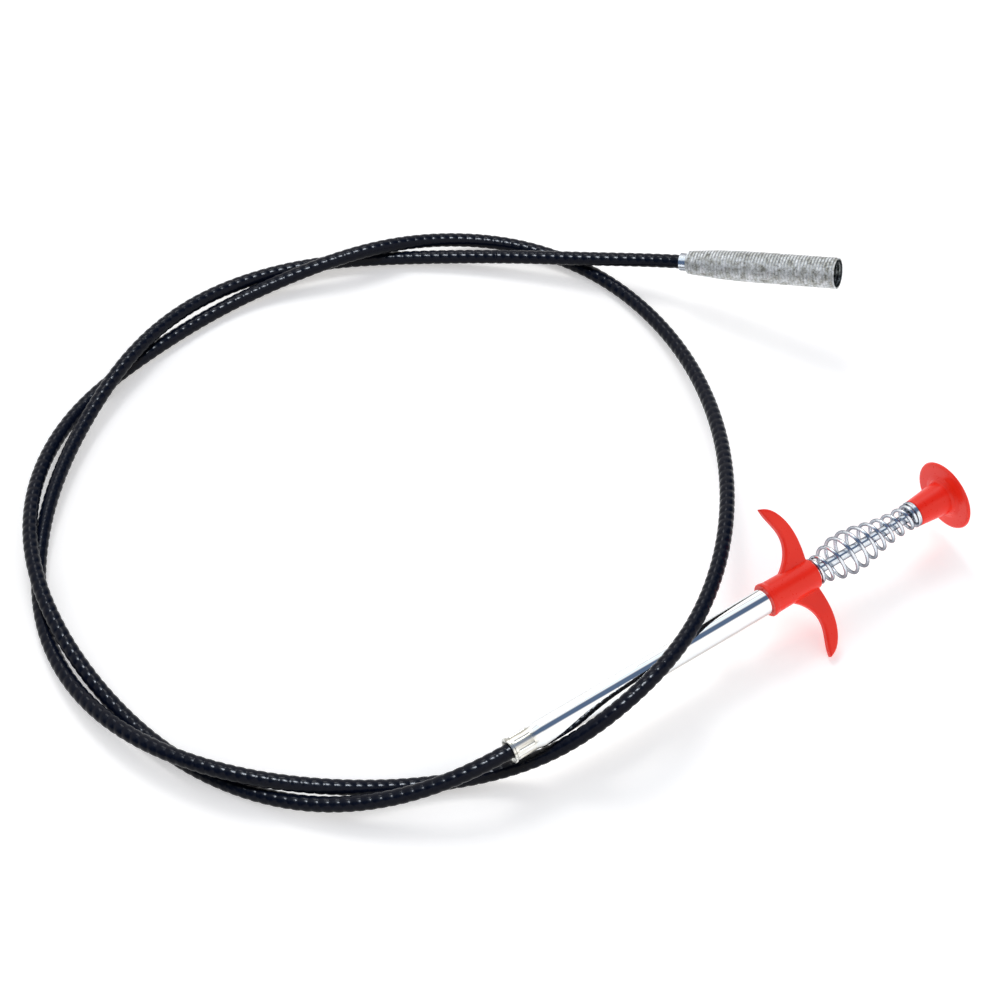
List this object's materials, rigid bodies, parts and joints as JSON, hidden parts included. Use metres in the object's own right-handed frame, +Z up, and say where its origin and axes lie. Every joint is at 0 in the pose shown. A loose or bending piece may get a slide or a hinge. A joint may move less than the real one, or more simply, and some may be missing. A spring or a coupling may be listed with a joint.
{
  "type": "drain auger",
  "caption": "Hand drain auger: a sprung thumb plunger in a winged handle tube drives four claws out of the steel tip of a long coiled flexible hose.",
  "frame": {"origin": "centre of the thumb face, on the handle's axis", "axes": "+X is the handle's axis, pointing out of the thumb face; +Z is up with the tool lying coiled on a level table"},
  "size_m": [0.3273, 0.2685, 0.0388],
  "materials": {
    "red_plastic": "smooth moulded gloss",
    "zinc": "bright zinc plate",
    "plain_steel": "drawn steel",
    "bush_plastic": "moulded",
    "chrome_tube": "mirror chrome plate",
    "black_cover": "satin ribbed cover",
    "galvanised": "dull galvanised, mottled",
    "claw_steel": "drawn spring steel"
  },
  "bodies": {
    "handle": {"handle_tube": "chrome_tube", "finger_grip": "red_plastic", "guide_bush": "bush_plastic", "return_spring": "zinc", "hose_cover": "black_cover", "hose_liner": "plain_steel", "coil_wire": "plain_steel"},
    "plunger": {"thumb_button": "red_plastic", "spring_collar": "zinc", "plunger_rod": "zinc", "wire_coupler": "plain_steel", "handle_wire": "plain_steel"},
    "free_end": {"free_end_cover": "black_cover", "free_end_liner": "plain_steel", "neck_ring": "zinc", "tip_sleeve": "galvanised"},
    "claw_carrier": {"tip_wire": "plain_steel", "claw_hub": "plain_steel"},
    "claw_1_body": {"claw_1": "claw_steel"},
    "claw_2_body": {"claw_2": "claw_steel"},
    "claw_3_body": {"claw_3": "claw_steel"},
    "claw_4_body": {"claw_4": "claw_steel"}
  },
  "joints": [
    {"name": "plunger_press", "type": "slide", "parent": "handle", "child": "plunger", "axis": [-1, 0, 0], "range_m": [0, 0.026], "stiffness_N_per_m": 180, "springref_m": -0.01, "deforming": ["return_spring"]},
    {"name": "hose_flex", "type": "hinge", "parent": "handle", "child": "free_end", "pos_m": [-0.0485, 0.18691, -0.01192], "axis": [0, 0, 1], "range_deg": [-10, 15], "stiffness_Nm_per_rad": 0.6},
    {"name": "claws_out", "type": "slide", "parent": "free_end", "child": "claw_carrier", "axis": [0.5401, -0.7961, 0.273], "range_m": [0, 0.026]},
    {"name": "claw_1_open", "type": "hinge", "parent": "claw_carrier", "child": "claw_1_body", "pos_m": [0.01121, 0.12172, 0.00524], "axis": [-0.1533, 0.2259, 0.962], "range_deg": [0, 20.01]},
    {"name": "claw_2_open", "type": "hinge", "parent": "claw_carrier", "child": "claw_2_body", "pos_m": [0.00964, 0.12119, 0.00678], "axis": [-0.8275, -0.5614, 0], "range_deg": [0, 20.01]},
    {"name": "claw_3_open", "type": "hinge", "parent": "claw_carrier", "child": "claw_3_body", "pos_m": [0.00856, 0.11993, 0.00524], "axis": [0.1533, -0.2259, -0.962], "range_deg": [0, 20.01]},
    {"name": "claw_4_open", "type": "hinge", "parent": "claw_carrier", "child": "claw_4_body", "pos_m": [0.01013, 0.12046, 0.0037], "axis": [0.8275, 0.5614, 0], "range_deg": [0, 20.01]}
  ],
  "couplings": [
    {"joint": "claws_out", "follows": "plunger_press", "ratio": 1},
    {"joint": "claw_1_open", "follows": "plunger_press", "rad_per_m": 13.426},
    {"joint": "claw_2_open", "follows": "plunger_press", "rad_per_m": 13.426},
    {"joint": "claw_3_open", "follows": "plunger_press", "rad_per_m": 13.426},
    {"joint": "claw_4_open", "follows": "plunger_press", "rad_per_m": 13.426}
  ]
}
